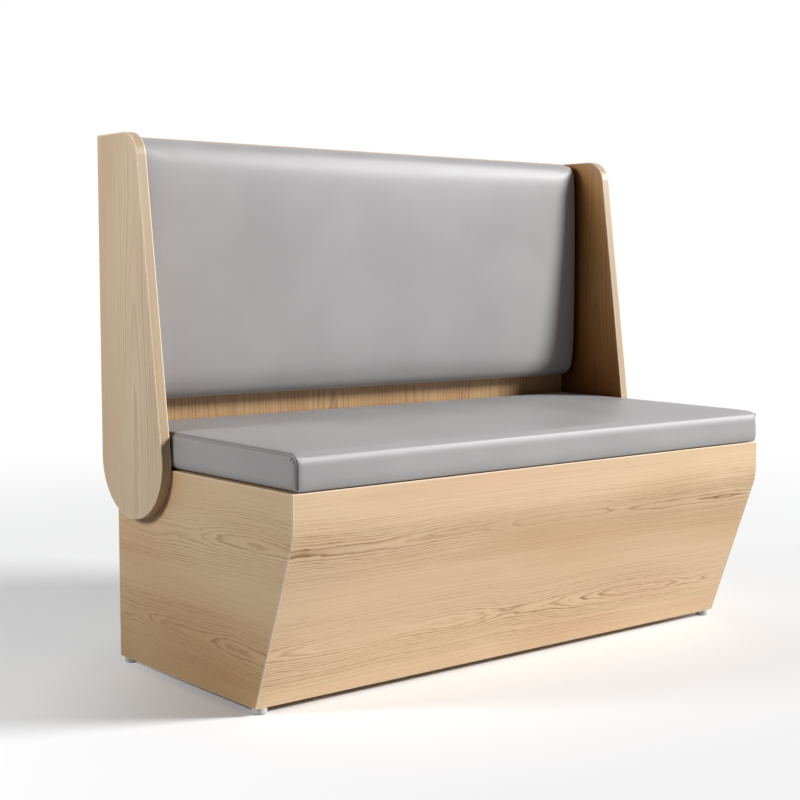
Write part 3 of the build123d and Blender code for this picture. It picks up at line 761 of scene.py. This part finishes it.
def swellCushion(cushion, look):
    # blows the cover up as cloth, with its lower rim held on the board and every point's way capped
    rest = [v.co.copy() for v in cushion.data.vertices]
    held = cushion.vertex_groups.new(name="held")
    held.add([v.index for v in cushion.data.vertices if v.co.z < look["boardTop"]], 1.0, "REPLACE")
    cloth = cushion.modifiers.new("swelling", "CLOTH")
    cloth.settings.quality = clothLook["quality"]
    cloth.settings.mass = clothLook["mass"]
    cloth.settings.tension_stiffness = clothLook["stretch"]
    cloth.settings.compression_stiffness = clothLook["stretch"]
    cloth.settings.bending_stiffness = look["stiffness"]
    cloth.settings.use_pressure = True
    cloth.settings.uniform_pressure_force = clothLook["pressure"]
    cloth.settings.effector_weights.gravity = 0
    cloth.settings.vertex_group_mass = "held"
    cloth.collision_settings.use_collision = False
    scene.frame_start = 1
    scene.frame_end = clothLook["frames"]
    for frameNumber in range(1, clothLook["frames"] + 1):
        scene.frame_set(frameNumber)
    makeActive(cushion)
    bpy.ops.object.modifier_apply(modifier="swelling")
    scene.frame_set(1)
    for vert, start in zip(cushion.data.vertices, rest):
        moved = vert.co - start
        limit = look["swell"] * smooth((start.z - look["boardTop"]) / look["easeIn"])
        if moved.length > 0 and limit > 0:
            vert.co = start + moved.normalized() * limit * math.tanh(moved.length / limit)
        else:
            vert.co = start
    editAll(cushion)
    bpy.ops.mesh.vertices_smooth(factor=clothLook["strokeForce"], repeat=look["strokes"])
    bpy.ops.object.mode_set(mode="OBJECT")


def rimDrop(fromEdge, falls):
    # how far the surface has fallen near an edge, as the filling thins out there
    return sum(deep * math.exp(-max(fromEdge, 0) / reach) for deep, reach in falls)


def finishCushion(cushion, look):
    # thins the filling towards the edges, draws the sides in between the corners and keeps the cushion
    # between its neighbours
    length, depth, thick = look["size"]
    halfLength, halfDepth = length / 2, depth / 2
    lengthways, depthways = formLook["crownFlatness"]
    quickPower, endPower = formLook["quickFlatness"], formLook["endFlatness"]
    for vert in cushion.data.vertices:
        co = vert.co
        u, v = co.x / halfLength, co.y / halfDepth
        rise = smooth((co.z - look["boardTop"]) / (thick - look["boardTop"]))
        # highest in the middle, falling to the sewn edges
        crown = look["crown"] * (1 - abs(u) ** lengthways) * (1 - abs(v) ** depthways)
        fallen = rimDrop(halfDepth + co.y, look["nearFalls"]) + rimDrop(halfDepth - co.y, look["farFalls"])
        fallen += rimDrop(halfLength - abs(co.x), look["endFalls"])
        co.z += (crown - look["crown"] - fallen) * rise
        drawnIn = look["drawIn"] * smooth(co.z / thick)
        co.x -= math.copysign(drawnIn * max(1 - v * v, 0) * abs(u) ** endPower, u)
        co.y -= math.copysign(drawnIn * max(1 - u * u, 0) * abs(v) ** endPower, v)
        co.x = min(max(co.x, -halfLength), halfLength)
        co.y = min(max(co.y, -halfDepth), halfDepth)
        co.z = min(max(co.z, 0), thick)
    editAll(cushion)
    bpy.ops.mesh.subdivide(number_cuts=1, smoothness=1)
    bpy.ops.object.mode_set(mode="OBJECT")
    bpy.ops.object.shade_smooth()


def rollEdges(cushion, look):
    # rounds the front top edge further than the rear one and the sewn ends
    halfDepth = look["size"][1] / 2 - look["inset"]
    for vert in cushion.data.vertices:
        co = vert.co
        radius, falls = look["rollRadius"], look["nearFalls"]
        if co.y > 0:
            radius, falls = look["rearRadius"], look["farFalls"]
        edgeHeight = look["size"][2] - look["crown"] - rimDrop(0, falls)
        outwards = abs(co.y) - (halfDepth - radius)
        upwards = co.z - (edgeHeight - radius)
        if outwards > 0 and upwards > 0:
            # a true quarter round in its middle that runs out into both faces
            reach = max(outwards, upwards)
            towardsMiddle = (min(outwards, upwards) / reach) ** 2
            reach = radius + (reach - radius) * (1 - towardsMiddle) ** 2
            share = reach / math.hypot(outwards, upwards)
            co.y = math.copysign(halfDepth - radius + outwards * share, co.y)
            co.z = edgeHeight - radius + upwards * share


def bell(offset, width):
    return math.exp(-((offset / width) ** 2))


def seamAt(look, fromEnd, fromSide, fromTop):
    # how deep the seam pulls a point of the end in, and how much shade is painted there
    turn = look["seamTurn"]
    # how far the point lies inside the seam's outline, whose upper corners are rounded
    if fromSide < turn and fromTop < turn:
        inside = turn - math.hypot(turn - fromSide, turn - fromTop)
    else:
        inside = max(min(fromSide, fromTop), 0)
    turned = smooth((fromTop - look["turnFrom"] * turn) / (look["turnOver"] * turn))
    downFront = turned * smooth((look["frontReach"] - fromSide) / look["frontFade"])
    seamFromEnd = look["seamTop"] + (look["seamUpright"] - look["seamTop"]) * downFront
    offset = fromEnd - seamFromEnd - inside
    groove = bell(offset, look["grooveWidth"]) * (1 - (1 - look["uprightShare"]) * downFront)
    deep = look["grooveDepth"] * groove
    dark = look["grooveShade"] * groove
    # along the top the panel's rim turns away between its two seams, and is painted in shade there
    second = bell(offset + look["stripWidth"], look["grooveWidth"]) * (1 - downFront)
    deep += look["secondDepth"] * look["grooveDepth"] * second
    dark += look["secondShade"] * look["grooveShade"] * second
    if -look["stripWidth"] < offset < 0:
        dark += look["stripShade"] * (1 - downFront)
    # down the front it falls in softly towards its one seam, with painted shade growing towards it
    if offset < 0:
        fallIn = math.exp(offset / look["fallInWidth"]) * downFront
        deep += look["fallInDepth"] * fallIn
        dark += look["fallInShade"] * fallIn
    # a faint line of painted shade where the seam's allowance ends under the cover
    dark += look["allowanceShade"] * bell(offset - look["allowanceAt"], look["allowanceWidth"]) * downFront
    # the cover gathers where the panel turns its corner, with painted shade in its folds
    sideways, downwards = fromSide - look["gatherAt"], fromTop - look["gatherAt"]
    if offset < 0:
        gather = bell(math.hypot(sideways, downwards), look["gatherWidth"])
        fold = math.sin(look["gatherFolds"] * math.atan2(downwards, sideways) + look["gatherTurn"])
        deep += look["gatherDepth"] * gather * (1 + fold) / 2
        dark += gather * (look["gatherShade"] + look["foldShade"] * fold)
    return deep, min(max(dark, 0.0), 1.0)


def sewEnds(cushion, look):
    # sews each end panel in: two grooves along the top, one round the corner and down the front, and stores
    # their painted shade for the material
    makeActive(cushion)
    halfLength = look["size"][0] / 2
    bpy.ops.object.mode_set(mode="EDIT")
    bpy.ops.mesh.select_mode(type="FACE")
    bpy.ops.mesh.select_all(action="DESELECT")
    bpy.ops.object.mode_set(mode="OBJECT")
    for face in cushion.data.polygons:
        atEnd = abs(face.center.x) > halfLength - look["sewnZone"]
        face.select = atEnd and face.center.z > formLook["underside"] / 2
    bpy.ops.object.mode_set(mode="EDIT")
    bpy.ops.mesh.subdivide(number_cuts=formLook["sewnCuts"], smoothness=formLook["sewnSmoothness"])
    bpy.ops.object.mode_set(mode="OBJECT")
    verts = cushion.data.vertices
    seamShades = cushion.data.attributes.new("seamShade", "FLOAT", "POINT")
    ends = [v for v in verts if abs(v.co.x) > halfLength - look["sewnZone"]]
    reach = max(abs(v.co.x) for v in ends)
    nearRim = [v.co for v in ends if abs(v.co.x) < halfLength - look["rimInset"]]
    rim = max(co.z for co in nearRim)
    front, rear = min(co.y for co in nearRim), max(co.y for co in nearRim)
    moves = []
    for vert in ends:
        co = vert.co
        deep, dark = seamAt(look, reach - abs(co.x), min(co.y - front, rear - co.y), rim - co.z)
        seamShades.data[vert.index].value = dark
        if co.z >= formLook["underside"]:
            moves.append((vert.index, vert.normal * deep))
    for index, inwards in moves:
        verts[index].co -= inwards


def settleSeat(cushion, look):
    # the filling stands a little higher where the pad meets the panel, and its front hangs over the board
    length, depth, thick = look["size"]
    for vert in cushion.data.vertices:
        co = vert.co
        co.z += look["rearRise"] * (co.y / depth + 0.5) * smooth(co.z / thick)
        fromFront = co.y + depth / 2
        if co.z < look["sagHeight"]:
            low = 1 - co.z / look["sagHeight"]
            co.z -= look["sag"] * smooth(1 - fromFront / look["sagReach"]) * low


def openUnderside(cushion, look):
    # the cover ends a hand's width in from the board's edge, so the board shows below it
    openX, openY = look["opening"]
    for vert in cushion.data.vertices:
        co = vert.co
        if co.z < formLook["underside"] and abs(co.x) < openX and abs(co.y) < openY:
            co.z += look["boardInside"]


seatLook = {
    "name": "seatCushion",
    "size": (1.197, 0.582, 0.068),
    "middle": (0, -0.010, 0.395),
    "inset": 0.0008,
    "swell": 0.0014,
    "crown": 0.003,
    "nearFalls": ((0.002, 0.04),),  # depth and reach at the front edge
    "farFalls": ((0.0005, 0.03),),
    "endFalls": (),
    "drawIn": 0.0012,
    "cornerRadius": 0.007,
    "topRadius": 0.006,
    "rollRadius": 0.023,
    "rearRadius": 0.009,
    "rearRise": 0.0045,
    "sag": 0.0024,
    "sagReach": 0.012,
    "sagHeight": 0.01,
    "bottomRadius": 0.002,
    "voxel": 0.0065,
    "boardTop": 0.016,
    "easeIn": 0.035,
    "strokes": 2,
    "stiffness": 6.0,
    "opening": (0.547, 0.243),
    "boardInside": 0.003,
    "sewnZone": 0.03,
    "rimInset": 0.01,
    "seamTop": 0.003,
    "seamUpright": 0.004,
    "uprightShare": 0.32,
    "seamTurn": 0.024,
    "turnFrom": 0.3,
    "turnOver": 0.6,
    "frontReach": 0.04,
    "frontFade": 0.015,
    "grooveWidth": 0.0011,
    "grooveDepth": 0.0015,
    "grooveShade": 0.75,
    "secondDepth": 0.6,
    "secondShade": 0.75,
    "stripWidth": 0.0065,
    "stripShade": 0.04,
    "fallInWidth": 0.005,
    "fallInDepth": 0.0008,
    "fallInShade": 0.32,
    "allowanceAt": 0.0095,
    "allowanceWidth": 0.001,
    "allowanceShade": 0.12,
    "gatherAt": 0.013,
    "gatherWidth": 0.006,
    "gatherDepth": 0.0014,
    "gatherFolds": 5,
    "gatherTurn": 0.6,
    "gatherShade": 0.25,
    "foldShade": 0.5,
}
backLook = {
    "name": "backCushion",
    "size": (1.192, 0.499, 0.063),
    "middle": (0, 0.2806, 0.7535),
    "inset": 0.0008,
    "swell": 0.004,
    "crown": 0.002,
    "nearFalls": ((0.018, 0.024), (0.006, 0.06)),  # depth and reach at the lower edge
    "farFalls": ((0.006, 0.018), (0.010, 0.06)),
    "endFalls": ((0.003, 0.02),),
    "drawIn": 0.001,
    "cornerRadius": 0.02,
    "topRadius": 0.012,
    "bottomRadius": 0.004,
    "voxel": 0.0065,
    "boardTop": 0.014,
    "easeIn": 0.03,
    "strokes": 6,
    "stiffness": 6.0,
    "opening": (0.546, 0.193),
    "boardInside": 0.003,
}

seatCushion = makeCushion(seatLook)
finishCushion(seatCushion, seatLook)
rollEdges(seatCushion, seatLook)
sewEnds(seatCushion, seatLook)
settleSeat(seatCushion, seatLook)
openUnderside(seatCushion, seatLook)
seatCushion.location = seatLook["middle"]
applyPlace(seatCushion)
seatCushion.data.materials.append(leatherette)
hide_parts("seat_cover", "seat_foam")
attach(seatCushion, "seat_pad")
print("seat cushion made:", len(seatCushion.data.polygons), "faces")

backCushion = makeCushion(backLook)
finishCushion(backCushion, backLook)
openUnderside(backCushion, backLook)
backCushion.rotation_euler = (math.radians(90), 0, 0)
backCushion.location = backLook["middle"]
applyPlace(backCushion)
backCushion.data.materials.append(leatherette)
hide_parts("back_cover", "back_foam")
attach(backCushion, "back_pad")
print("back cushion made:", len(backCushion.data.polygons), "faces")
